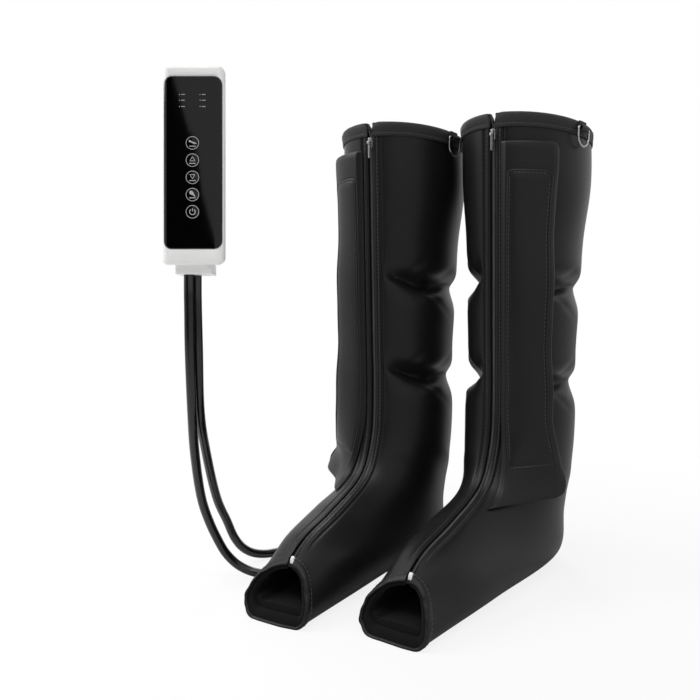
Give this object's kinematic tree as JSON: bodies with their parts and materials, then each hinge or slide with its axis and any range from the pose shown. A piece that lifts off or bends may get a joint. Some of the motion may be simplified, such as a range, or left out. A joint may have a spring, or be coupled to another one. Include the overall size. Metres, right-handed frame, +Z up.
{
  "type": "air compression leg massager",
  "caption": "Soft padded calf and foot boots with air chambers, front zips, side flaps and hanging rings, joined by air hoses to an upright hand controller with a key panel.",
  "frame": {"origin": "middle of the footprint of the boots and controller, on the surface that the boots stand on", "axes": "+Z up the legs, toes along -Y, the wearer's left side along +X"},
  "size_m": [0.4063, 0.4815, 0.5394],
  "materials": {
    "boot_cover": "satin coated fabric, near black",
    "boot_lining": "brushed lining, near black",
    "air_chamber": "welded air chamber film, grey",
    "binding": "woven edge binding, charcoal",
    "zip_tape": "woven zip tape, black",
    "zip_teeth": "moulded coil, black",
    "dark_metal": "dark nickel",
    "white_plastic": "soft gloss, off-white",
    "hook_and_loop": "hook and loop tape, black",
    "air_fitting": "moulded, black",
    "face_gloss": "high gloss, black",
    "keypad_rubber": "silicone, grey",
    "board": "circuit board, green",
    "cell_wrap": "shrink wrap, blue",
    "pump_metal": "plain",
    "valve_body": "moulded, grey",
    "hose": "smooth gloss tube, black"
  },
  "bodies": {
    "base": {"left_cover": "boot_cover", "left_lining": "boot_lining", "left_bladder_upper": "air_chamber", "left_bladder_middle": "air_chamber", "left_bladder_lower": "air_chamber", "left_bladder_foot": "air_chamber", "left_insole": "boot_lining", "left_cuff_binding": "binding", "left_toe_lip": "boot_cover", "left_zip_tape": "zip_tape", "left_zip_teeth": "zip_teeth", "left_zip_stop": "white_plastic", "left_flap_foot": "boot_cover", "left_loop_strip": "hook_and_loop", "left_ring_tab": "binding", "left_air_port": "air_fitting", "right_cover": "boot_cover", "right_lining": "boot_lining", "right_bladder_upper": "air_chamber", "right_bladder_middle": "air_chamber", "right_bladder_lower": "air_chamber", "right_bladder_foot": "air_chamber", "right_insole": "boot_lining", "right_cuff_binding": "binding", "right_toe_lip": "boot_cover", "right_zip_tape": "zip_tape", "right_zip_teeth": "zip_teeth", "right_zip_stop": "white_plastic", "right_flap_foot": "boot_cover", "right_loop_strip": "hook_and_loop", "right_ring_tab": "binding", "right_air_port": "air_fitting", "front_shell": "white_plastic", "rear_shell": "white_plastic", "face_panel": "face_gloss", "keypad": "keypad_rubber", "main_board": "board", "battery_pack": "cell_wrap", "air_pump": "pump_metal", "air_valve_left": "valve_body", "air_valve_right": "valve_body", "hose_socket": "white_plastic", "hose_left": "hose", "hose_right": "hose"},
    "key_foot": {"key_foot": "face_gloss"},
    "key_up": {"key_up": "face_gloss"},
    "key_down": {"key_down": "face_gloss"},
    "key_calf": {"key_calf": "face_gloss"},
    "key_power": {"key_power": "face_gloss"},
    "left_slider": {"left_zip_slider": "dark_metal"},
    "left_pull": {"left_zip_pull": "dark_metal"},
    "left_ring": {"left_d_ring": "dark_metal"},
    "left_flap": {"left_side_flap": "boot_cover", "left_hook_strip": "hook_and_loop"},
    "right_slider": {"right_zip_slider": "dark_metal"},
    "right_pull": {"right_zip_pull": "dark_metal"},
    "right_ring": {"right_d_ring": "dark_metal"},
    "right_flap": {"right_side_flap": "boot_cover", "right_hook_strip": "hook_and_loop"}
  },
  "joints": [
    {"name": "key_foot_press", "type": "slide", "parent": "base", "child": "key_foot", "axis": [-0.5552, 0.8269, -0.089], "range_m": [0, 0.0008], "stiffness_N_per_m": 300},
    {"name": "key_up_press", "type": "slide", "parent": "base", "child": "key_up", "axis": [-0.5552, 0.8269, -0.089], "range_m": [0, 0.0008], "stiffness_N_per_m": 300},
    {"name": "key_down_press", "type": "slide", "parent": "base", "child": "key_down", "axis": [-0.5552, 0.8269, -0.089], "range_m": [0, 0.0008], "stiffness_N_per_m": 300},
    {"name": "key_calf_press", "type": "slide", "parent": "base", "child": "key_calf", "axis": [-0.5552, 0.8269, -0.089], "range_m": [0, 0.0008], "stiffness_N_per_m": 300},
    {"name": "key_power_press", "type": "slide", "parent": "base", "child": "key_power", "axis": [-0.5552, 0.8269, -0.089], "range_m": [0, 0.0008], "stiffness_N_per_m": 300},
    {"name": "left_zip_slide", "type": "slide", "parent": "base", "child": "left_slider", "axis": [0.0018, 0.0362, -0.9993], "range_m": [0, 0.225]},
    {"name": "left_pull_swing", "type": "hinge", "parent": "left_slider", "child": "left_pull", "pos_m": [0.08374, 0.04155, 0.4869], "axis": [-0.9988, 0.0496, 0], "range_deg": [0, 150]},
    {"name": "left_ring_swing", "type": "hinge", "parent": "base", "child": "left_ring", "pos_m": [0.15963, 0.1099, 0.49577], "axis": [-0.1808, -0.9801, 0.0815], "range_deg": [0, 110]},
    {"name": "left_flap_open", "type": "hinge", "parent": "base", "child": "left_flap", "pos_m": [0.09353, 0.04384, 0.47903], "axis": [0.0016, 0.0312, -0.9995], "range_deg": [0, 100]},
    {"name": "right_zip_slide", "type": "slide", "parent": "base", "child": "right_slider", "axis": [-0.0018, 0.0362, -0.9993], "range_m": [0, 0.225]},
    {"name": "right_pull_swing", "type": "hinge", "parent": "right_slider", "child": "right_pull", "pos_m": [-0.05182, 0.01395, 0.4869], "axis": [-0.9988, -0.0496, 0], "range_deg": [0, 150]},
    {"name": "right_ring_swing", "type": "hinge", "parent": "base", "child": "right_ring", "pos_m": [0.01692, 0.08948, 0.49577], "axis": [-0.0829, -0.9932, 0.0815], "range_deg": [0, 12]},
    {"name": "right_flap_open", "type": "hinge", "parent": "base", "child": "right_flap", "pos_m": [-0.06162, 0.01624, 0.47903], "axis": [0.0016, -0.0312, 0.9995], "range_deg": [0, 100]}
  ]
}
